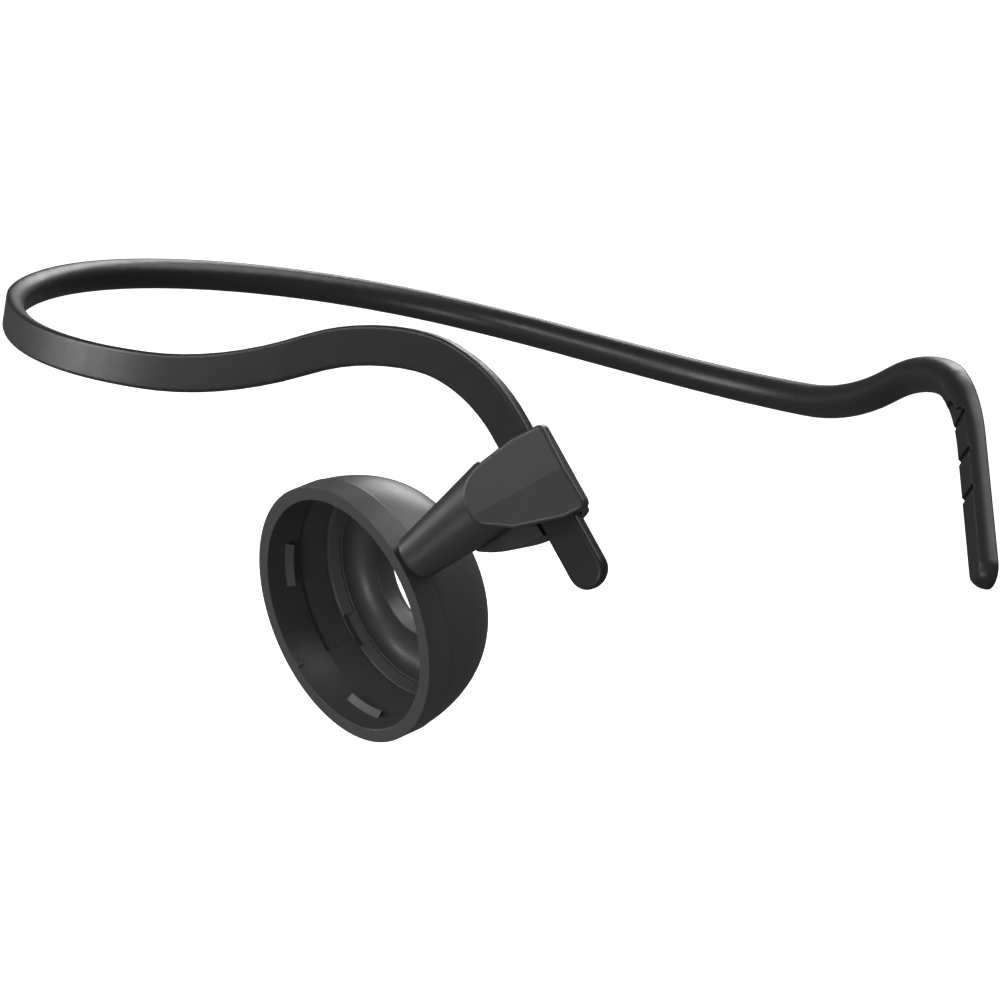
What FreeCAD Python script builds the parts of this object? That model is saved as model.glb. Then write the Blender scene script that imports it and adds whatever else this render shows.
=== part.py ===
"""Behind-the-neck headset band with a sliding earpiece holder.

Millimetres. +Z is up and the wearer faces -Y, so -X is the wearer's right. The neckband is one
flat-sided strip that runs round the back of the head, over both ears and down in front of them.
The holder rides on the right-hand end: a slider, an arm, and an open round cup for an earpiece.
"""
import FreeCAD
import Part
import math
import os

from FreeCAD import Matrix, Placement, Vector

# ---- driving dimensions: neckband ----
BAND_HEIGHT = 5.0
BAND_THICKNESS = 3.2
BAND_CORNER = 0.4
HALF_LENGTH = 212.0
# (distance along the band from the middle of its back, heading there in degrees): each pair ends
# a bend of constant radius as seen from above, and the rest of the band runs straight.
PLAN_BENDS = ((0.0, 0.0), (63.5, 68.0), (128.0, 104.5), (190.0, 112.0), (HALF_LENGTH, 112.0))
# (distance along the band, climb there in degrees): the same for the band unrolled on a wall.
RISE_BENDS = ((0.0, 0.0), (42.0, 0.0), (124.0, 11.5), (155.0, 28.5), (172.5, 7.5), (190.0, -41.5),
              (HALF_LENGTH, -41.5))
PATH_STEP = 0.25
STATION_GAP = 4.0
# The band runs straight from here to the tip.
STRAIGHT_STATION = 190.0

# ---- driving dimensions: spring strip inside the band ----
SPRING_HEIGHT = 2.4
SPRING_THICKNESS = 0.6
SPRING_OFFSET = 0.5
SPRING_END_GAP = 6.0
SPRING_FIT = 0.03

# ---- driving dimensions: notched ends ----
TIP_CAP_LENGTH = 2.5
FLAT_DEPTH = 0.75
FLAT_LENGTH = 27.1
NOTCH_COUNT = 3
NOTCH_PITCH = 6.0
LAST_NOTCH = 13.8
NOTCH_DEPTH = 0.6
NOTCH_WIDTH = 1.0
NOTCH_FRONT_STOP = 1.9
JOIN_STATION = HALF_LENGTH - FLAT_LENGTH - 6.0
CAP_STATION = HALF_LENGTH - TIP_CAP_LENGTH

# ---- driving dimensions: slider ----
HOLDER_STATION = 15.0
SLIDE_TRAVEL = 2 * NOTCH_PITCH
CHANNEL_GAP = 0.15
FRONT_WALL = 1.0
FLOOR = 1.45
TRAY_TOP_END = -5.2
TRAY_TIP_END = 6.3
TRAY_ROUND = 0.4
TRAY_SHOULDER = (6.4, -2.5)
TRAY_FLANK = (5.5, -7.4)
TRAY_FOOT = 12.2
TRAY_FOOT_ENDS = (-4.0, 3.0)
TRAY_TAPER = 0.5
TRAY_HEEL_START = 6.8
TRAY_HEEL_END = (12.4, 0.6)
TRAY_HEEL_BULGE = (10.8, -2.0)
COVER_FRONT = 5.4
COVER_FRONT_TOP = 3.15
COVER_CORNER = 0.9
COVER_EDGE = 0.45
COVER_SLOPE = 17.0
FACET_TILT = 3.5
COVER_HEIGHT = 12.0
# Corners seen from outside as (towards the tip, towards the upper edge), from the band's middle.
COVER_TOP_SIDE = ((-4.4, COVER_FRONT), (-4.9, 1.5), (-4.5, -3.2))
COVER_TAIL = (-1.7, -7.0)
COVER_TIP_SIDE = ((2.2, -6.4), (4.5, -3.4), (6.7, 2.4), (7.0, COVER_FRONT))
OPEN_ABOVE = 5.5
RIDGE_FRONT = 2.1
MOUTH_RELIEF = 4.1
# The band starts to bend here, in the holder's frame, when the holder is pushed right up.
RELIEF_START = HOLDER_STATION + SLIDE_TRAVEL - (HALF_LENGTH - STRAIGHT_STATION)
RELIEF_RUNOUT = 2.0
RELIEF_DROP = 0.15
SEAM = 0.04
# Longer than any holder piece: half the length of the blocks that shape it.
HOLDER_REACH = 20.0

# ---- driving dimensions: detent leaf and cover pins ----
LEAF_THICKNESS = 0.25
LEAF_LENGTH = 8.0
LEAF_HALF_WIDTH = 1.3
LEAF_BUMP = 0.9
LEAF_POCKET_DEPTH = 0.6
LEAF_TO_FLAT = 0.12
LEAF_POCKET_GAP = 0.15
PIN_PLACES = ((-1.2, -4.9), (2.4, -4.4))
PIN_RADIUS = 0.6
PIN_LENGTH = 2.4
PIN_GAP = 0.05

# ---- driving dimensions: arm ----
ARM_ROOT = Vector(-0.9, -10.2, 2.5)
ARM_ROOT_RADIUS = 3.95
ARM_END_RADIUS = 2.85
ARM_END_FILLET = 0.7
ARM_OVERLAP = 5.0

# ---- driving dimensions: earpiece cup ----
CUP_CENTRE = Vector(-1.62, -36.24, 0.2)
CUP_TILT = 19.0
CUP_SIDE_TILT = 3.0
CUP_RADIUS = 16.95
BORE_RADIUS = 15.2
CUP_DEPTH = 14.8
RIM_LENGTH = 3.4
TAPER_START = 5.2
LINER_THICKNESS = 0.6
DOME_START = 1.6
CREST_RADIUS = 9.0
LIP_DEPTH = 11.4
HOLE_DEPTH = 13.1
HOLE_RADIUS = 6.85
LEDGE_DEPTH = 9.0
LEDGE_RADIUS = 14.1
LEDGE_WIDTH = 0.9
LEDGE_THICKNESS = 0.7
BOWL_START = 10.4
BOWL_RADIUS = 13.0
BOWL_DEPTH = 13.1
ARM_END_DEPTH = 1.5
ARM_END_REACH = 17.5
BEAD_HEIGHT = 0.85
BEAD_START = 2.85
BEAD_LEAD = 0.8
BEAD_LENGTH = 0.85
BEAD_ANGLES = (45.0, 135.0, 225.0, 315.0)
BEAD_SPAN = 24.0
GAP_ANGLES = (0.9, 180.9)
GAP_SPAN = 18.8
POCKET_DEPTH = 0.35
POCKET_SPAN = 85.0
POCKET_OFFSET = 3.7
NUB_SIZE = 0.8
NUB_ANGLE = 184.5

# The middle of the whole object's box, measured from the middle of the band's back.
BOX_MIDDLE = Vector(0.0, -82.8985, -0.4862)

UP = Vector(0, 0, 1)
HALF_HEIGHT = BAND_HEIGHT / 2
HALF_THICKNESS = BAND_THICKNESS / 2
# The inner side of the band's D-section is a half circle of the band's half height.
ROUND_CENTRE = HALF_HEIGHT - HALF_THICKNESS
CHANNEL_SIDE = HALF_HEIGHT + CHANNEL_GAP
CHANNEL_FLOOR = ROUND_CENTRE - CHANNEL_SIDE
# The cover and the tray meet at this height above the band's middle line.
PARTING = HALF_THICKNESS + CHANNEL_GAP
LEAF_MIDDLE = HOLDER_STATION - LAST_NOTCH
SOCKET_RADIUS = (BORE_RADIUS + CUP_RADIUS) / 2
LINER_END = LEDGE_RADIUS + LINER_THICKNESS
# The ledge ring's sloped section: its back meets the bowl's edge at this radius.
LEDGE_SLOPE = LEDGE_WIDTH / (BOWL_START - LEDGE_DEPTH)
LEDGE_FOOT = LEDGE_RADIUS - LEDGE_SLOPE * (BOWL_START - LEDGE_DEPTH - LEDGE_THICKNESS)
# Corners closer than this to a joint between two stretches of band lie in it.
SEWING = 0.001


# ---- path of the band ----
def angle_at(bends, station):
    """Angle in radians at a station, between the bend ends listed in bends."""
    for (start, first), (end, last) in zip(bends, bends[1:]):
        if station <= end:
            share = (station - start) / (end - start)
            return math.radians(first + share * (last - first))
    return math.radians(bends[-1][1])


def direction_at(station):
    heading = angle_at(PLAN_BENDS, station)
    climb = angle_at(RISE_BENDS, station)
    level = math.cos(climb)
    return Vector(-math.cos(heading) * level, -math.sin(heading) * level, math.sin(climb))


def band_frame(station):
    """Point, direction, outward normal and upward edge direction of the right half's middle line."""
    steps = max(1, round(station / PATH_STEP))
    step = station / steps
    point = Vector(0, 0, 0)
    for number in range(steps):
        point += direction_at((number + 0.5) * step) * step
    heading = angle_at(PLAN_BENDS, station)
    along = direction_at(station)
    outward = Vector(-math.sin(heading), math.cos(heading), 0)
    return point, along, outward, outward.cross(along)


def mirrored(vector):
    return Vector(-vector.x, vector.y, vector.z)


def spaced(start, end, gap):
    """Evenly spaced stations from start to end, about gap apart."""
    count = max(1, round((end - start) / gap))
    return [start + (end - start) * number / count for number in range(count + 1)]


# ---- sections of the band: u runs along the edge direction, v outward ----
def d_edges(inset=0.0):
    """Closed outline of the D-section, shrunk by inset (or grown, when inset is negative)."""
    side = HALF_HEIGHT - inset
    face = HALF_THICKNESS - inset
    corner = BAND_CORNER
    knee = corner * (1 - math.sqrt(0.5))
    a = Vector(-side + corner, face, 0)
    b = Vector(side - corner, face, 0)
    c = Vector(side, face - corner, 0)
    d = Vector(side, ROUND_CENTRE, 0)
    e = Vector(0, ROUND_CENTRE - side, 0)
    f = Vector(-side, ROUND_CENTRE, 0)
    g = Vector(-side, face - corner, 0)
    return [
        Part.LineSegment(a, b).toShape(),
        Part.Arc(b, Vector(side - knee, face - knee, 0), c).toShape(),
        Part.LineSegment(c, d).toShape(),
        Part.Arc(d, e, f).toShape(),
        Part.LineSegment(f, g).toShape(),
        Part.Arc(g, Vector(-side + knee, face - knee, 0), a).toShape(),
    ]


def strip_edges(grow=0.0):
    """Closed outline of the spring strip's section."""
    side = SPRING_HEIGHT / 2 + grow
    low = SPRING_OFFSET - SPRING_THICKNESS / 2 - grow
    high = SPRING_OFFSET + SPRING_THICKNESS / 2 + grow
    corners = [Vector(-side, low, 0), Vector(side, low, 0), Vector(side, high, 0),
               Vector(-side, high, 0)]
    return Part.makePolygon(corners + corners[:1]).Edges


def section_placement(point, edge, outward):
    """Places a section drawn in u, v at a point of the band."""
    along = edge.cross(outward)
    return Placement(Matrix(edge.x, outward.x, along.x, point.x,
                            edge.y, outward.y, along.y, point.y,
                            edge.z, outward.z, along.z, point.z,
                            0, 0, 0, 1))


def right_sections(edges, stations):
    """Copies of a section placed along the right half of the band."""
    wires = []
    for station in stations:
        point, along, outward, edge = band_frame(station)
        wire = Part.Wire([item.copy() for item in edges])
        wire.Placement = section_placement(point, edge, outward)
        wires.append(wire)
    return wires


def half_skin(edges, end):
    """Side faces of the band's right half, from the middle of its back to a station."""
    solid = Part.makeLoft(right_sections(edges, spaced(0.0, end, STATION_GAP)), True)
    point, along, outward, edge = band_frame(end)
    side_faces = []
    for face in solid.Faces:
        at_end = all(abs((vertex.Point - point).dot(along)) < SEWING for vertex in face.Vertexes)
        at_start = all(abs(vertex.X) < SEWING for vertex in face.Vertexes)
        if not at_end and not at_start:
            side_faces.append(face)
    return side_faces


def mirror_faces(faces):
    return [face.mirror(Vector(0, 0, 0), Vector(1, 0, 0)) for face in faces]


def closed_solid(faces):
    """Solid bounded by faces that share their edges, with its volume counted positive."""
    skin = Part.makeCompound(faces)
    skin.sewShape()
    solid = Part.makeSolid(skin.Shells[0])
    if solid.Volume < 0:
        solid.reverse()
    return solid


def strip_solid(grow):
    """The spring strip's whole length, grown all round by grow."""
    end = HALF_LENGTH - SPRING_END_GAP + grow
    half = Part.makeLoft(right_sections(strip_edges(grow), spaced(0.0, end, STATION_GAP)), True)
    faces = [face for face in half.Faces
             if not all(abs(vertex.X) < SEWING for vertex in face.Vertexes)]
    return closed_solid(faces + mirror_faces(faces))


# ---- the two end frames: x along the band to the tip, y the upper edge, z outward ----
def end_placement(distance_from_tip, flip=False):
    point, along, outward, edge = band_frame(HALF_LENGTH - distance_from_tip)
    if flip:
        point, along, outward, edge = (mirrored(item) for item in (point, along, outward, edge))
    return Placement(Matrix(along.x, edge.x, outward.x, point.x,
                            along.y, edge.y, outward.y, point.y,
                            along.z, edge.z, outward.z, point.z,
                            0, 0, 0, 1))


def placed(shape, placement):
    """Copy of a shape carried from a local frame into the band's frame."""
    copy = shape.copy()
    copy.transformShape(placement.toMatrix(), True)
    return copy


def box(x_low, x_high, y_low, y_high, z_low, z_high):
    return Part.makeBox(x_high - x_low, y_high - y_low, z_high - z_low,
                        Vector(x_low, y_low, z_low))


def prism(points, axis, start, length):
    """Solid with a closed outline of points, in a plane across axis, extruded along axis."""
    face = Part.Face(Part.makePolygon(points + points[:1]))
    face.translate(axis * start)
    return face.extrude(axis * length)


# ---- neckband ----
def tip_cap():
    """Round end of the band, in an end frame whose origin is the centre of the round."""
    side = HALF_HEIGHT
    face = HALF_THICKNESS
    knee = BAND_CORNER * (1 - math.sqrt(0.5))
    edges = [
        Part.LineSegment(Vector(0, 0, ROUND_CENTRE - side), Vector(0, 0, face)).toShape(),
        Part.LineSegment(Vector(0, 0, face), Vector(0, side - BAND_CORNER, face)).toShape(),
        Part.Arc(Vector(0, side - BAND_CORNER, face), Vector(0, side - knee, face - knee),
                 Vector(0, side, face - BAND_CORNER)).toShape(),
        Part.LineSegment(Vector(0, side, face - BAND_CORNER),
                         Vector(0, side, ROUND_CENTRE)).toShape(),
        Part.Arc(Vector(0, side, ROUND_CENTRE),
                 Vector(0, side * math.sqrt(0.5), ROUND_CENTRE - side * math.sqrt(0.5)),
                 Vector(0, 0, ROUND_CENTRE - side)).toShape(),
    ]
    face_half = Part.Face(Part.Wire(edges))
    return face_half.revolve(Vector(0, 0, 0), UP, -180)


def flat_cutter():
    """Takes the round inner side of a band end down to a flat, with a round run-out."""
    level = -HALF_THICKNESS + FLAT_DEPTH
    below = -BAND_THICKNESS
    run = FLAT_LENGTH - TIP_CAP_LENGTH
    strip = box(-run, TIP_CAP_LENGTH + 1, -BAND_HEIGHT * 2, BAND_HEIGHT, below, level)
    runout = Part.makeCylinder(HALF_HEIGHT, level - below, Vector(-run, -HALF_HEIGHT, below))
    return strip.fuse(runout)


def notch_cutter():
    """One detent notch across the flat, stopping short of the band's upper edge."""
    level = -HALF_THICKNESS + FLAT_DEPTH
    half = NOTCH_WIDTH / 2
    points = [Vector(-half, 0, level - 1.5), Vector(-half, 0, level + NOTCH_DEPTH * 0.7),
              Vector(0, 0, level + NOTCH_DEPTH), Vector(half, 0, level - 0.1),
              Vector(half, 0, level - 1.5)]
    return prism(points, Vector(0, 1, 0), -BAND_HEIGHT, BAND_HEIGHT + NOTCH_FRONT_STOP)


def notched_end():
    """The last stretch of the right half, from JOIN_STATION to the rounded tip."""
    bent = Part.makeLoft(right_sections(d_edges(), spaced(JOIN_STATION, STRAIGHT_STATION, 2.0)), True)
    straight = Part.makeLoft(right_sections(d_edges(), (STRAIGHT_STATION, CAP_STATION)), True)
    end = bent.fuse([straight, placed(tip_cap(), end_placement(TIP_CAP_LENGTH))])
    end = end.cut(placed(flat_cutter(), end_placement(TIP_CAP_LENGTH)))
    for number in range(NOTCH_COUNT):
        end = end.cut(placed(notch_cutter(), end_placement(LAST_NOTCH + number * NOTCH_PITCH)))
    return end


def end_skin():
    """Faces of the notched end, without the flat one where it joins the rest of the band."""
    point, along, outward, edge = band_frame(JOIN_STATION)
    return [face for face in notched_end().Faces
            if not all(abs((vertex.Point - point).dot(along)) < SEWING for vertex in face.Vertexes)]


def neckband():
    """The moulded strip, hollow for its spring, with a flat and notches at both ends."""
    right = half_skin(d_edges(), JOIN_STATION) + end_skin()
    outside = closed_solid(right + mirror_faces(right))
    hollow = strip_solid(SPRING_FIT).Shells[0].reversed()
    return Part.makeSolid(Part.makeCompound([outside.Shells[0], hollow]))


def neckband_spring():
    return strip_solid(0.0)


# ---- cup: revolved about its own z, which points out of the mouth; x points at the arm ----
def cup_placement():
    """Cup frame inside the holder's frame."""
    tilt = math.radians(CUP_TILT)
    lean = math.radians(CUP_SIDE_TILT)
    axis = Vector(math.sin(lean), -math.sin(tilt) * math.cos(lean), math.cos(tilt) * math.cos(lean))
    towards = Vector(math.tan(math.radians(CUP_SIDE_TILT)) * 1.5, math.cos(tilt), math.sin(tilt))
    side = axis.cross(towards)
    side.normalize()
    towards = side.cross(axis)
    return Placement(Matrix(towards.x, side.x, axis.x, CUP_CENTRE.x,
                            towards.y, side.y, axis.y, CUP_CENTRE.y,
                            towards.z, side.z, axis.z, CUP_CENTRE.z,
                            0, 0, 0, 1))


def at_depth(radius, depth):
    return Vector(radius, 0, -depth)


def line(start, end):
    return Part.LineSegment(start, end).toShape()


def dome_radius(depth):
    """Outer radius of the dome at a depth below the rim: a quarter of an ellipse."""
    share = (depth - DOME_START) / (CUP_DEPTH - DOME_START)
    return CREST_RADIUS + (CUP_RADIUS - CREST_RADIUS) * math.sqrt(max(0.0, 1 - share * share))


def dome_arc(start_depth):
    """Outer edge of the dome's section from start_depth to the crest."""
    centre = at_depth(CREST_RADIUS, DOME_START)
    ellipse = Part.Ellipse(at_depth(CREST_RADIUS, CUP_DEPTH), at_depth(CUP_RADIUS, DOME_START),
                           centre)
    start = at_depth(dome_radius(start_depth), start_depth)
    first, last = ellipse.parameter(start), ellipse.parameter(at_depth(CREST_RADIUS, CUP_DEPTH))
    return Part.Arc(ellipse, min(first, last), max(first, last)).toShape(), start


def revolved(edges):
    face = Part.Face(Part.Wire(Part.__sortEdges__(edges)))
    return face.revolve(Vector(0, 0, 0), UP, 360)


def sector(inner, outer, low_depth, high_depth, centre_angle, span):
    """Part of a flat ring, between two depths, centred on an angle about the cup's axis."""
    height = high_depth - low_depth
    ring = Part.makeCylinder(outer, height, Vector(0, 0, -high_depth), UP, span)
    if inner > 0:
        ring = ring.cut(Part.makeCylinder(inner, height, Vector(0, 0, -high_depth)))
    ring.rotate(Vector(0, 0, 0), UP, centre_angle - span / 2)
    return ring


def closed_section(corners):
    """Edges of a closed outline through (radius, depth) corners."""
    points = [at_depth(radius, depth) for radius, depth in corners]
    return [line(start, end) for start, end in zip(points, points[1:] + points[:1])]


def swung(edges, middle, span):
    """A section revolved through part of a turn, centred on an angle about the cup's axis."""
    solid = Part.Face(Part.Wire(edges)).revolve(Vector(0, 0, 0), UP, span)
    solid.rotate(Vector(0, 0, 0), UP, middle - span / 2)
    return solid


def snap_bead(angle):
    """Ridge in the bore with a sloped lead-in, which the earpiece snaps past."""
    proud = BORE_RADIUS - BEAD_HEIGHT
    root = BORE_RADIUS + BEAD_HEIGHT / 3
    end = BEAD_START + BEAD_LENGTH
    corners = ((root, BEAD_START), (BORE_RADIUS, BEAD_START), (proud, BEAD_START + BEAD_LEAD),
               (proud, end), (root, end))
    return swung(closed_section(corners), angle, BEAD_SPAN)


def cup_rim():
    """Front ring of the cup: flat rim, tapering liner, and beads that snap over the earpiece."""
    ring = revolved(closed_section((
        (BORE_RADIUS, 0), (CUP_RADIUS, 0), (CUP_RADIUS, RIM_LENGTH), (SOCKET_RADIUS, RIM_LENGTH),
        (LINER_END, LEDGE_DEPTH), (LEDGE_RADIUS, LEDGE_DEPTH), (BORE_RADIUS, TAPER_START))))
    for angle in BEAD_ANGLES:
        ring = ring.fuse(snap_bead(angle))
    for angle in GAP_ANGLES:
        ring = ring.cut(pocket_cutter(angle + POCKET_OFFSET - POCKET_SPAN / 2))
    nub = box(BORE_RADIUS - NUB_SIZE / 2, BORE_RADIUS + NUB_SIZE / 2,
              -NUB_SIZE / 2, NUB_SIZE / 2, -NUB_SIZE, 0)
    nub.rotate(Vector(0, 0, 0), UP, NUB_ANGLE)
    return ring.fuse(nub).removeSplitter()


def cup_shell():
    """Domed back of the cup, with a rolled lip round the hole that faces the ear."""
    outer, start = dome_arc(RIM_LENGTH)
    crest = at_depth(CREST_RADIUS, CUP_DEPTH)
    roll = at_depth(HOLE_RADIUS + 0.35, CUP_DEPTH - 0.6)
    hole_back = at_depth(HOLE_RADIUS, HOLE_DEPTH)
    hole_front = at_depth(HOLE_RADIUS, LIP_DEPTH)
    bowl_floor = at_depth((BOWL_RADIUS + HOLE_RADIUS) / 2, BOWL_DEPTH)
    bowl_edge = at_depth(BOWL_RADIUS, BOWL_START)
    ledge_foot = at_depth(LEDGE_FOOT, BOWL_START)
    ledge_seat = at_depth(LEDGE_RADIUS, LEDGE_DEPTH + LEDGE_THICKNESS)
    ledge_top = at_depth(LEDGE_RADIUS, LEDGE_DEPTH)
    liner_foot = at_depth(LINER_END, LEDGE_DEPTH)
    seat = at_depth(SOCKET_RADIUS, RIM_LENGTH)
    return revolved([
        line(seat, start), outer, Part.Arc(crest, roll, hole_back).toShape(),
        line(hole_back, hole_front), Part.Arc(hole_front, bowl_floor, bowl_edge).toShape(),
        line(bowl_edge, ledge_foot), line(ledge_foot, ledge_seat), line(ledge_seat, ledge_top),
        line(ledge_top, liner_foot), line(liner_foot, seat)])


def pocket_cutter(middle):
    """Shallow recess in the tapered liner where a bayonet lug turns."""
    grow = POCKET_DEPTH
    inside = LEDGE_RADIUS - 1
    return swung(closed_section((
        (inside, TAPER_START), (BORE_RADIUS + grow, TAPER_START),
        (LEDGE_RADIUS + grow, LEDGE_DEPTH), (inside, LEDGE_DEPTH))), middle, POCKET_SPAN)


def cup_ledge_ring():
    """Two sloped arcs on the step inside the cup that the earpiece's lugs turn under."""
    inner = LEDGE_RADIUS - LEDGE_WIDTH
    ring = revolved(closed_section((
        (LEDGE_RADIUS, LEDGE_DEPTH), (LEDGE_RADIUS, LEDGE_DEPTH + LEDGE_THICKNESS),
        (LEDGE_FOOT, BOWL_START), (inner, BOWL_START))))
    for angle in GAP_ANGLES:
        ring = ring.cut(sector(0, CUP_RADIUS, 0, CUP_DEPTH, angle, GAP_SPAN))
    return ring


# ---- holder body: slider tray and arm, in the holder's frame ----
def arm_end():
    """Centre of the arm's end, just outside the cup's wall near the rim."""
    return cup_placement().multVec(Vector(ARM_END_REACH, 0, -ARM_END_DEPTH))


def arm():
    """Tapered round arm from inside the slider to the cup's rim."""
    end = arm_end()
    axis = end - ARM_ROOT
    length = axis.Length
    axis.normalize()
    taper = (ARM_ROOT_RADIUS - ARM_END_RADIUS) / length
    start = ARM_ROOT - axis * ARM_OVERLAP
    cone = Part.makeCone(ARM_ROOT_RADIUS + taper * ARM_OVERLAP, ARM_END_RADIUS,
                         length + ARM_OVERLAP, start, axis)
    rim_edges = [edge for edge in cone.Edges if edge.isClosed()
                 and (edge.CenterOfMass - end).Length < ARM_END_RADIUS / 2]
    return cone.makeFillet(ARM_END_FILLET, rim_edges)


def facet_height(y):
    """Height of the cover's ridge above the band's middle line at edge position y."""
    return COVER_FRONT_TOP + (COVER_FRONT - y) * math.tan(math.radians(COVER_SLOPE))


def path_edges(corners):
    """Straight edges through (x, y) corners."""
    points = [Vector(x, y, 0) for x, y in corners]
    return [line(start, end) for start, end in zip(points, points[1:])]


def arc_edge(start, middle, end):
    points = [Vector(x, y, 0) for x, y in (start, middle, end)]
    return Part.Arc(*points).toShape()


def column(edges, low, height):
    """Upright solid over a closed outline drawn in the x, y plane."""
    face = Part.Face(Part.Wire(edges))
    face.translate(UP * low)
    return face.extrude(UP * height)


def grown(point, grow):
    """Moves an outline corner away from the cover's middle."""
    x, y = point
    return x + math.copysign(grow, x), y + math.copysign(grow, y)


def cover_block(grow=0.0):
    """Blank of the cover with its shield-shaped outline, before its facets are cut."""
    top_side = [grown(point, grow) for point in COVER_TOP_SIDE]
    tip_side = [grown(point, grow) for point in COVER_TIP_SIDE]
    tail = grown(COVER_TAIL, grow)
    edges = path_edges(top_side) + [arc_edge(top_side[-1], tail, tip_side[0])]
    edges += path_edges(tip_side) + path_edges((tip_side[-1], top_side[0]))
    return column(edges, PARTING - grow, COVER_HEIGHT)


def channel():
    """Room for the band through the slider, with a relief where the band starts to bend."""
    face = Part.Face(Part.Wire(d_edges(-CHANNEL_GAP)))
    # The section is drawn in the x, y plane: turn it to stand across the holder's x.
    turn = Placement(Matrix(0, 0, 1, 0, 1, 0, 0, 0, 0, 1, 0, 0, 0, 0, 0, 1))
    face = placed(face, turn)
    face.translate(Vector(-HOLDER_REACH, 0, 0))
    bore = face.extrude(Vector(2 * HOLDER_REACH, 0, 0))
    # The band leans slightly towards the head as it bends, so the floor drops there too.
    dropped = bore.copy()
    dropped.translate(Vector(RELIEF_START - HOLDER_REACH, 0, -RELIEF_DROP))
    mouth = TRAY_TOP_END - RELIEF_RUNOUT
    edge = -CHANNEL_SIDE
    points = [Vector(RELIEF_START, 0, 0), Vector(RELIEF_START, edge, 0),
              Vector(mouth, edge - MOUTH_RELIEF, 0), Vector(mouth, 0, 0)]
    relief = prism(points, UP, CHANNEL_FLOOR, PARTING - CHANNEL_FLOOR)
    opening = box(-HOLDER_REACH, HOLDER_REACH, -CHANNEL_SIDE, CHANNEL_SIDE, ROUND_CENTRE, PARTING)
    return bore.fuse([dropped, relief, opening])


def tray_section():
    """Closed section of the tray across the band, as edges in the y, z plane."""
    wall = CHANNEL_SIDE + FRONT_WALL
    floor = CHANNEL_FLOOR - FLOOR
    front_top = Vector(0, wall, PARTING)
    front_low = Vector(0, wall, ROUND_CENTRE)
    bend = Vector(0, wall * math.sqrt(0.5), ROUND_CENTRE - wall * math.sqrt(0.5))
    keel = Vector(0, 0, floor)
    heel_start = Vector(0, -TRAY_HEEL_START, floor)
    heel_bulge = Vector(0, -TRAY_HEEL_BULGE[0], TRAY_HEEL_BULGE[1])
    heel_end = Vector(0, -TRAY_HEEL_END[0], TRAY_HEEL_END[1])
    back_top = Vector(0, -TRAY_HEEL_END[0], PARTING)
    return [line(front_top, front_low), Part.Arc(front_low, bend, keel).toShape(),
            line(keel, heel_start), Part.Arc(heel_start, heel_bulge, heel_end).toShape(),
            line(heel_end, back_top), line(back_top, front_top)]


def tray_column():
    """Upright solid with the tray's outline seen from outside."""
    top = TRAY_TOP_END
    front = CHANNEL_SIDE + 2 * FRONT_WALL
    foot_top, foot_tip = TRAY_FOOT_ENDS
    edges = path_edges(((top + TRAY_TAPER, front), (TRAY_TIP_END, front), TRAY_SHOULDER))
    edges.append(arc_edge(TRAY_SHOULDER, TRAY_FLANK, (foot_tip, -TRAY_FOOT)))
    edges += path_edges(((foot_tip, -TRAY_FOOT), (foot_top, -TRAY_FOOT), (top, -TRAY_FOOT / 2),
                         (top, FRONT_WALL), (top + TRAY_TAPER, front)))
    return column(edges, -COVER_HEIGHT / 2, COVER_HEIGHT)


def tray():
    """Lower half of the slider: floor, front wall and the block that the arm grows from."""
    slab = Part.Face(Part.Wire(tray_section())).extrude(Vector(2 * HOLDER_REACH, 0, 0))
    slab.translate(Vector(-HOLDER_REACH, 0, 0))
    body = slab.common(tray_column()).removeSplitter()
    # The upper edge of the curved flank is the only one on the tip's side below the shoulder.
    flank = [edge for edge in body.Edges if abs(edge.CenterOfMass.z - PARTING) < SEWING
             and edge.CenterOfMass.x > TRAY_FOOT_ENDS[1]
             and edge.CenterOfMass.y < TRAY_SHOULDER[1]]
    return body.makeFillet(TRAY_ROUND, flank)


def leaf_pocket():
    """Slot in the tray's floor for the detent leaf, open to the channel."""
    half = LEAF_LENGTH / 2 + LEAF_POCKET_GAP
    width = LEAF_HALF_WIDTH + LEAF_POCKET_GAP
    return box(LEAF_MIDDLE - half, LEAF_MIDDLE + half, -width, width,
               CHANNEL_FLOOR - LEAF_POCKET_DEPTH, CHANNEL_FLOOR + 1.0)


def detent_leaf():
    """Flat steel leaf with a pressed-up ridge that springs into the notches."""
    low = CHANNEL_FLOOR - LEAF_POCKET_DEPTH
    high = low + LEAF_THICKNESS
    ridge = -HALF_THICKNESS + FLAT_DEPTH - LEAF_TO_FLAT
    half = LEAF_LENGTH / 2
    foot = LEAF_BUMP + LEAF_THICKNESS
    outline = ((-half, low), (-foot + LEAF_THICKNESS, low), (0, ridge - 1.5 * LEAF_THICKNESS),
               (foot - LEAF_THICKNESS, low), (half, low), (half, high), (foot, high),
               (LEAF_THICKNESS, ridge), (-LEAF_THICKNESS, ridge), (-foot, high), (-half, high))
    points = [Vector(LEAF_MIDDLE + x, 0, z) for x, z in outline]
    return prism(points, Vector(0, 1, 0), -LEAF_HALF_WIDTH, 2 * LEAF_HALF_WIDTH)


def cup_envelope():
    """Outside of the cup as one solid, for trimming the arm where it meets the wall."""
    outer, start = dome_arc(RIM_LENGTH)
    crest = at_depth(CREST_RADIUS, CUP_DEPTH)
    edges = [line(at_depth(0, -5), at_depth(CUP_RADIUS, -5)),
             line(at_depth(CUP_RADIUS, -5), at_depth(CUP_RADIUS, RIM_LENGTH)),
             line(at_depth(CUP_RADIUS, RIM_LENGTH), start), outer,
             line(crest, at_depth(0, CUP_DEPTH)), line(at_depth(0, CUP_DEPTH), at_depth(0, -5))]
    return revolved(edges)


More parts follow.
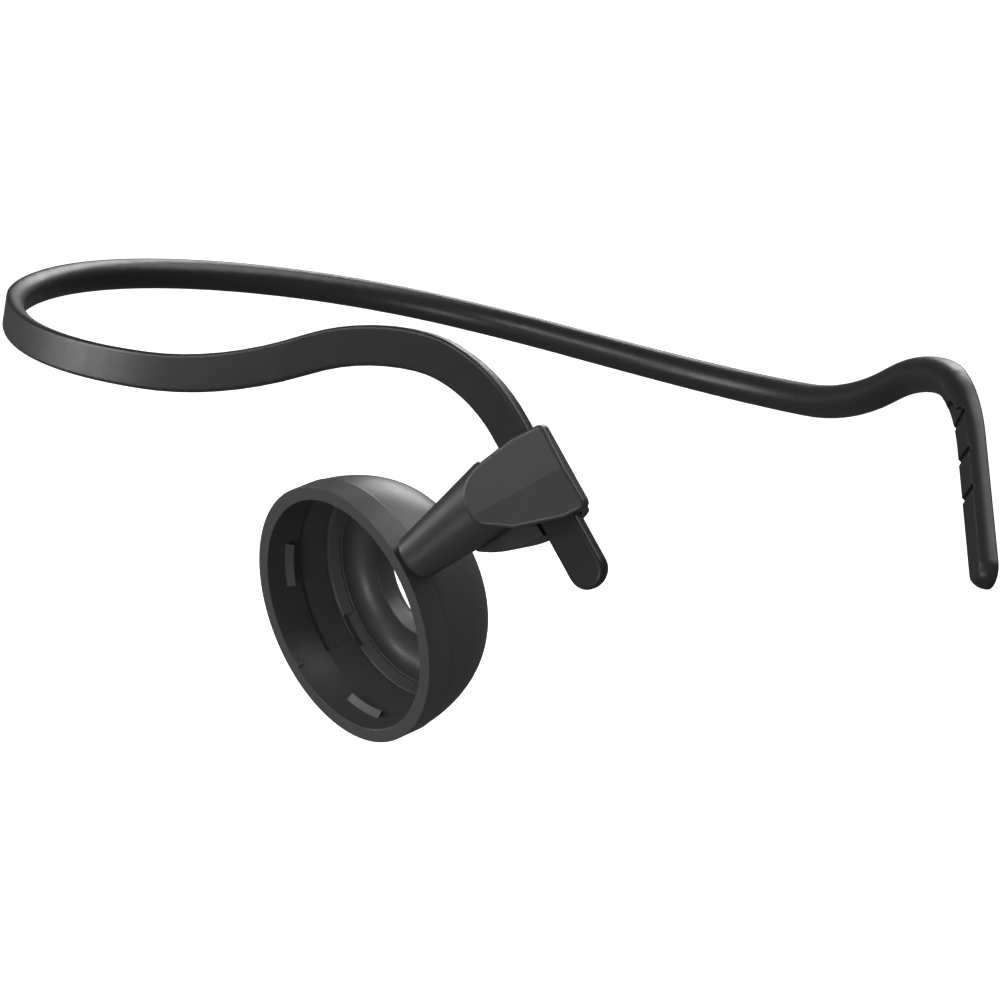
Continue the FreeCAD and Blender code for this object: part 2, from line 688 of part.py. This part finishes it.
def cover_pins(grow=0.0):
    """Two dowels that hold the cover down on the tray."""
    reach = PIN_LENGTH / 2 + grow
    radius = PIN_RADIUS + grow / 4
    solids = [Part.makeCylinder(radius, 2 * reach, Vector(x, y, PARTING - reach))
              for x, y in PIN_PLACES]
    return Part.makeCompound(solids)


def hollowed(body):
    """Takes out of a holder moulding the room for the cover, band, leaf, pins and cup."""
    above = box(-HOLDER_REACH, HOLDER_REACH, -OPEN_ABOVE, HOLDER_REACH, PARTING,
                HOLDER_REACH)
    cutters = [cover_block(SEAM), above, channel(), leaf_pocket(), cover_pins(PIN_GAP),
               placed(cup_envelope(), cup_placement())]
    for cutter in cutters:
        body = body.cut(cutter)
    return body.removeSplitter()


def slider_tray():
    return hollowed(tray().cut(arm()))


def cup_arm():
    return hollowed(arm())


def facet_cutter(sign):
    """Takes the cover down to one facet, on the tip's side of the ridge for sign 1."""
    drop = HOLDER_REACH * math.tan(math.radians(FACET_TILT))
    rows = []
    for y, ridge in ((2 * COVER_FRONT, RIDGE_FRONT), (2 * COVER_TAIL[1], 0.0)):
        height = facet_height(y)
        rows.append((Vector(ridge, y, height),
                     Vector(ridge + sign * HOLDER_REACH, y, height - drop)))
    corners = [rows[0][0], rows[0][1], rows[1][1], rows[1][0]]
    face = Part.Face(Part.makePolygon(corners + corners[:1]))
    return face.extrude(UP * HOLDER_REACH)


def slider_cover():
    """Cap with two shallow facets that meet in a ridge towards the arm."""
    cap = cover_block()
    corners = [edge for edge in cap.Edges if abs(edge.CenterOfMass.y - COVER_FRONT) < 0.01
               and abs(edge.Vertexes[0].Z - edge.Vertexes[-1].Z) > 1]
    cap = cap.makeFillet(COVER_CORNER, corners)
    for sign in (-1, 1):
        cap = cap.cut(facet_cutter(sign))
    cap = cap.removeSplitter()
    top_edges = [edge for edge in cap.Edges if edge.CenterOfMass.z > PARTING + 0.9
                 and min(vertex.Z for vertex in edge.Vertexes) > PARTING + 0.8]
    ridge_edges = [edge for edge in top_edges if abs(edge.CenterOfMass.x - 1.0) < 0.7
                   and abs(edge.CenterOfMass.y + 0.8) < 1.5]
    rim = [edge for edge in top_edges if not any(edge.isSame(other) for other in ridge_edges)]
    cap = cap.makeFillet(COVER_EDGE, rim)
    return cap.cut(cover_pins(PIN_GAP))


HOLDER_PIECES = {"slider_tray": slider_tray, "cup_arm": cup_arm, "slider_cover": slider_cover,
                 "cover_pins": cover_pins, "detent_leaf": detent_leaf}
CUP_PIECES = {"cup_rim": cup_rim, "cup_shell": cup_shell, "cup_ledge_ring": cup_ledge_ring}


def all_pieces():
    pieces = {"neckband": neckband(), "neckband_spring": neckband_spring()}
    seat = end_placement(HOLDER_STATION)
    for name, make in HOLDER_PIECES.items():
        pieces[name] = placed(make(), seat)
    for name, make in CUP_PIECES.items():
        pieces[name] = placed(placed(make(), cup_placement()), seat)
    for shape in pieces.values():
        shape.translate(-BOX_MIDDLE)
    return pieces


os.makedirs("parts", exist_ok=True)
for name, shape in all_pieces().items():
    shape.exportStep(os.path.join("parts", name + ".step"))
    print(name, "solids", len(shape.Solids), "valid", shape.isValid(), "volume", round(shape.Volume, 1))
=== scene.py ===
"""Behind-the-neck headset band with its earpiece holder, in metres, in the frame of the CAD model."""
import math

import bpy
from mathutils import Matrix, Vector


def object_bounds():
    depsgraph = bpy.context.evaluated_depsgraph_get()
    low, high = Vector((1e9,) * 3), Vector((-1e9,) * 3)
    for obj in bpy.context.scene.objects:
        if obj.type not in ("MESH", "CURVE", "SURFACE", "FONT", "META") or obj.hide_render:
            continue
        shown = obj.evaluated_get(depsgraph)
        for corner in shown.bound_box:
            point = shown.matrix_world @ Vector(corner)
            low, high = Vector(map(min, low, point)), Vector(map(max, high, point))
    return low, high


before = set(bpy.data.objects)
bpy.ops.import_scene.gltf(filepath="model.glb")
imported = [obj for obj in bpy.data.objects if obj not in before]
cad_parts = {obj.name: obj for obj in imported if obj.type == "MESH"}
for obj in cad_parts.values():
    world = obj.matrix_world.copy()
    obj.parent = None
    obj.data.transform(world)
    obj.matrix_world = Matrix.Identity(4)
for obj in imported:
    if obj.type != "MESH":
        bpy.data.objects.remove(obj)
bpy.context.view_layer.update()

MM = 0.001

# ---- camera: where it stands, turned from +Y towards -X, looking down, then rolled ----
CAMERA_PLACE = Vector((-220.38, -344.3315, 99.3662)) * MM
LOOK_AZIMUTH = math.radians(-33.788)
LOOK_ELEVATION = math.radians(14.976)
CAMERA_ROLL = math.radians(10.918)
LENS = 103.68
SENSOR_WIDTH = 36.0
NEAR_CLIP = 0.01

# ---- floor and light ----
FLOOR_DROP = 0.30
FLOOR_SIZE = 16.0
FLOOR_GREY = 0.93
FLOOR_ROUGHNESS = 0.9
FLOOR_SPECULAR = 0.1
FLOOR_GLOW = 1.0

# Strength of the surroundings at the front right, where the camera stands, and at the back left.
WORLD_RIGHT = 0.34
WORLD_LEFT = 0.10
# Where they are strongest, from -Y towards -X, and between which cosines from there they change.
WORLD_AZIMUTH = math.radians(50.0)
WORLD_CHANGE = (-0.6, 0.8)
# (name, azimuth in degrees from -Y towards -X, elevation in degrees, distance, width, watts)
LIGHTS = (("left_back", 142.0, -4.0, 1.4, 0.4, 4.0),
          ("left_mid", 116.0, 14.0, 1.4, 0.35, 2.5),
          ("right_back", -140.0, 30.0, 1.2, 0.5, 4.6),
          ("top_soft", -80.0, 68.0, 1.2, 1.0, 9.0),
          ("facet_soft", 93.0, 24.0, 1.4, 0.36, 3.4),
          ("mouth_soft", 58.0, -13.0, 0.8, 0.24, 1.1))

# ---- plastics and steels ----
# name: (linear grey, roughness, strength of the grain, radius of the rubbed corners that also get a
# painted highlight, how much paler that painted highlight makes them)
PLASTICS = {"band_plastic": (0.010, 0.36, 0.25, 0.30 * MM, 1.25),
            "holder_plastic": (0.032, 0.38, 0.2, 0.25 * MM, 1.3),
            # The cover's corners get the strongest painted edge highlight.
            "cover_plastic": (0.033, 0.34, 0.3, 0.25 * MM, 2.6),
            "cup_plastic": (0.058, 0.38, 0.2, 0.20 * MM, 1.3)}
# name: linear grey
STEELS = {"spring_steel": 0.45, "pin_steel": 0.5}
# (piece of the CAD model, what it is made of)
FINISHES = (("neckband", "band_plastic"), ("neckband_spring", "spring_steel"),
            ("slider_tray", "holder_plastic"), ("cup_arm", "holder_plastic"),
            ("slider_cover", "cover_plastic"), ("cover_pins", "pin_steel"),
            ("detent_leaf", "spring_steel"), ("cup_rim", "cup_plastic"),
            ("cup_shell", "cup_plastic"), ("cup_ledge_ring", "cup_plastic"))

# ---- patterns: (scale per metre, detail) of each noise, and the factors or values it runs between ----
NOISE_RANGE = (0.3, 0.7)
CLOUD = (55.0, 3.0)
CLOUD_SHADE = (0.95, 1.05)
SPECK = (5200.0, 2.0)
SPECK_SHADE = (0.96, 1.04)
GLOSS = (320.0, 4.0)
GLOSS_SMOOTHER = 0.03
GLOSS_ROUGHER = 0.04
GRAIN = (4200.0, 3.0)
GRAIN_DEPTH = 0.02 * MM
WORN_ROUGHNESS = 0.85
BLUISH = 1.01
STEEL_LINES = (900.0, 6.0)
STEEL_SHADE = (0.85, 1.1)
STEEL_GLOSS = (300.0, 3.0)
STEEL_ROUGHNESS = (0.28, 0.42)
# Cosine between the softened and the true surface, on a flat and on a sharp corner.
EDGE_COSINES = (0.995, 0.88)
BEVEL_SAMPLES = 6


# ---- node helpers ----
def new_material(name):
    material = bpy.data.materials.new(name)
    material.use_nodes = True
    material.node_tree.nodes.clear()
    return material


def add_node(tree, kind, **settings):
    node = tree.nodes.new(kind)
    for key, value in settings.items():
        setattr(node, key, value)
    return node


def noise(tree, coordinates, scale, detail):
    node = add_node(tree, "ShaderNodeTexNoise")
    node.inputs["Scale"].default_value = scale
    node.inputs["Detail"].default_value = detail
    tree.links.new(coordinates, node.inputs["Vector"])
    return node.outputs["Fac"]


def ramp(tree, factor, low, high, dark, light):
    """Maps factor from low..high onto dark..light and stops at both ends."""
    node = add_node(tree, "ShaderNodeMapRange")
    node.inputs["From Min"].default_value = low
    node.inputs["From Max"].default_value = high
    node.inputs["To Min"].default_value = dark
    node.inputs["To Max"].default_value = light
    tree.links.new(factor, node.inputs["Value"])
    return node.outputs["Result"]


def patches(tree, coordinates, pattern, low, high):
    """Noise of that scale and detail, spread from low to high."""
    return ramp(tree, noise(tree, coordinates, *pattern), *NOISE_RANGE, low, high)


def multiply(tree, first, second):
    node = add_node(tree, "ShaderNodeMath", operation="MULTIPLY")
    tree.links.new(first, node.inputs[0])
    tree.links.new(second, node.inputs[1])
    return node.outputs["Value"]


def edge_mask(tree, radius):
    """0 on flats, towards 1 on corners tighter than radius."""
    bevel = add_node(tree, "ShaderNodeBevel", samples=BEVEL_SAMPLES)
    bevel.inputs["Radius"].default_value = radius
    geometry = add_node(tree, "ShaderNodeNewGeometry")
    dot = add_node(tree, "ShaderNodeVectorMath", operation="DOT_PRODUCT")
    tree.links.new(bevel.outputs["Normal"], dot.inputs[0])
    tree.links.new(geometry.outputs["Normal"], dot.inputs[1])
    return ramp(tree, dot.outputs["Value"], *EDGE_COSINES, 0.0, 1.0), bevel.outputs["Normal"]


def moulded_plastic(name, grey, roughness, grain, edge_radius, edge_highlight_paleness):
    """Spark-eroded satin plastic: fine grain, faint cloudy shade, corners rubbed smoother and made
    paler by a painted edge highlight.
    """
    material = new_material(name)
    tree = material.node_tree
    output = add_node(tree, "ShaderNodeOutputMaterial")
    shader = add_node(tree, "ShaderNodeBsdfPrincipled")
    tree.links.new(shader.outputs["BSDF"], output.inputs["Surface"])
    place = add_node(tree, "ShaderNodeTexCoord").outputs["Object"]
    cloud = patches(tree, place, CLOUD, *CLOUD_SHADE)
    speck = patches(tree, place, SPECK, *SPECK_SHADE)
    corner, soft_normal = edge_mask(tree, edge_radius)
    # Painted highlight: corners are painted paler, as if they catch the light.
    painted_edge_highlight = ramp(tree, corner, 0.0, 1.0, 1.0, edge_highlight_paleness)
    shade = multiply(tree, multiply(tree, cloud, speck), painted_edge_highlight)
    colour = add_node(tree, "ShaderNodeMixRGB", blend_type="MULTIPLY")
    colour.inputs["Fac"].default_value = 1.0
    colour.inputs["Color1"].default_value = (grey, grey, grey * BLUISH, 1.0)
    tree.links.new(shade, colour.inputs["Color2"])
    tree.links.new(colour.outputs["Color"], shader.inputs["Base Color"])
    gloss = patches(tree, place, GLOSS, roughness - GLOSS_SMOOTHER, roughness + GLOSS_ROUGHER)
    worn = ramp(tree, corner, 0.0, 1.0, 1.0, WORN_ROUGHNESS)
    tree.links.new(multiply(tree, gloss, worn), shader.inputs["Roughness"])
    bump = add_node(tree, "ShaderNodeBump")
    bump.inputs["Strength"].default_value = grain
    bump.inputs["Distance"].default_value = GRAIN_DEPTH
    tree.links.new(noise(tree, place, *GRAIN), bump.inputs["Height"])
    tree.links.new(soft_normal, bump.inputs["Normal"])
    tree.links.new(bump.outputs["Normal"], shader.inputs["Normal"])
    return material


def drawn_steel(name, grey):
    """Drawn or rolled steel with a fine mottle."""
    material = new_material(name)
    tree = material.node_tree
    output = add_node(tree, "ShaderNodeOutputMaterial")
    shader = add_node(tree, "ShaderNodeBsdfPrincipled")
    tree.links.new(shader.outputs["BSDF"], output.inputs["Surface"])
    place = add_node(tree, "ShaderNodeTexCoord").outputs["Object"]
    darker, paler = STEEL_SHADE
    lines = patches(tree, place, STEEL_LINES, grey * darker, grey * paler)
    tree.links.new(lines, shader.inputs["Base Color"])
    shader.inputs["Metallic"].default_value = 1.0
    gloss = patches(tree, place, STEEL_GLOSS, *STEEL_ROUGHNESS)
    tree.links.new(gloss, shader.inputs["Roughness"])
    return material


def dress(node, material):
    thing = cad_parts[node]
    if not thing.material_slots:
        thing.data.materials.append(material)
    for slot in thing.material_slots:
        slot.link = "OBJECT"
        slot.material = material


def dress_all():
    materials = {name: moulded_plastic(name, *finish) for name, finish in PLASTICS.items()}
    for name, grey in STEELS.items():
        materials[name] = drawn_steel(name, grey)
    for node, material in FINISHES:
        dress(node, materials[material])


# ---- stage ----
def make_floor():
    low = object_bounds()[0]
    level = low[2] - FLOOR_DROP
    half = FLOOR_SIZE / 2
    mesh = bpy.data.meshes.new("floor")
    corners = [(-half, -half, level), (half, -half, level), (half, half, level), (-half, half, level)]
    mesh.from_pydata(corners, [], [(0, 1, 2, 3)])
    floor = bpy.data.objects.new("floor", mesh)
    bpy.context.collection.objects.link(floor)
    material = new_material("pale_floor")
    tree = material.node_tree
    output = add_node(tree, "ShaderNodeOutputMaterial")
    shader = add_node(tree, "ShaderNodeBsdfPrincipled")
    shader.inputs["Base Color"].default_value = (FLOOR_GREY, FLOOR_GREY, FLOOR_GREY, 1.0)
    shader.inputs["Roughness"].default_value = FLOOR_ROUGHNESS
    shader.inputs["Specular IOR Level"].default_value = FLOOR_SPECULAR
    shader.inputs["Emission Color"].default_value = (1.0, 1.0, 1.0, 1.0)
    shader.inputs["Emission Strength"].default_value = FLOOR_GLOW
    tree.links.new(shader.outputs["BSDF"], output.inputs["Surface"])
    mesh.materials.append(material)
    # The floor only backs the view: it throws no light up and shows in no gloss.
    floor.visible_glossy = False
    floor.visible_diffuse = False


def area_light(name, azimuth, elevation, distance, size, power):
    """A square soft light round the object, aimed at its middle; azimuth 0 stands at -Y."""
    level = math.cos(elevation) * distance
    place = Vector((-math.sin(azimuth) * level, -math.cos(azimuth) * level,
                    math.sin(elevation) * distance))
    data = bpy.data.lights.new(name, "AREA")
    data.size = size
    data.energy = power
    light = bpy.data.objects.new(name, data)
    light.location = place
    light.rotation_euler = (-place).to_track_quat("-Z", "Y").to_euler()
    light.visible_camera = False
    bpy.context.collection.objects.link(light)


def make_world():
    """Soft studio surroundings, stronger at the front right than at the back left."""
    world = bpy.data.worlds.new("studio")
    world.use_nodes = True
    tree = world.node_tree
    background = tree.nodes["Background"]
    background.inputs["Color"].default_value = (1.0, 1.0, 1.0, 1.0)
    direction = add_node(tree, "ShaderNodeTexCoord").outputs["Generated"]
    across = add_node(tree, "ShaderNodeVectorMath", operation="DOT_PRODUCT")
    tree.links.new(direction, across.inputs[0])
    across.inputs[1].default_value = (-math.sin(WORLD_AZIMUTH), -math.cos(WORLD_AZIMUTH), 0.0)
    strength = ramp(tree, across.outputs["Value"], *WORLD_CHANGE, WORLD_LEFT, WORLD_RIGHT)
    # Seen directly, past the floor's edge, the surroundings are as white as the floor.
    seen = add_node(tree, "ShaderNodeLightPath").outputs["Is Camera Ray"]
    brightest = add_node(tree, "ShaderNodeMath", operation="MAXIMUM")
    tree.links.new(strength, brightest.inputs[0])
    tree.links.new(seen, brightest.inputs[1])
    tree.links.new(brightest.outputs["Value"], background.inputs["Strength"])
    bpy.context.scene.world = world


def make_lights():
    for name, azimuth, elevation, distance, size, power in LIGHTS:
        area_light(name, math.radians(azimuth), math.radians(elevation), distance, size, power)


def make_camera():
    look = Vector((-math.sin(LOOK_AZIMUTH) * math.cos(LOOK_ELEVATION),
                   math.cos(LOOK_AZIMUTH) * math.cos(LOOK_ELEVATION),
                   -math.sin(LOOK_ELEVATION)))
    side = look.cross(Vector((0, 0, 1))).normalized()
    up = side.cross(look)
    right = side * math.cos(CAMERA_ROLL) + up * math.sin(CAMERA_ROLL)
    top = right.cross(look)
    turn = Matrix((right, top, -look)).transposed().to_4x4()
    data = bpy.data.cameras.new("camera")
    data.lens = LENS
    data.sensor_width = SENSOR_WIDTH
    data.clip_start = NEAR_CLIP
    camera = bpy.data.objects.new("camera", data)
    camera.matrix_world = Matrix.Translation(CAMERA_PLACE) @ turn
    bpy.context.collection.objects.link(camera)
    bpy.context.scene.camera = camera


make_camera()
make_floor()
make_world()
make_lights()
dress_all()
bpy.context.scene.view_settings.view_transform = "Standard"
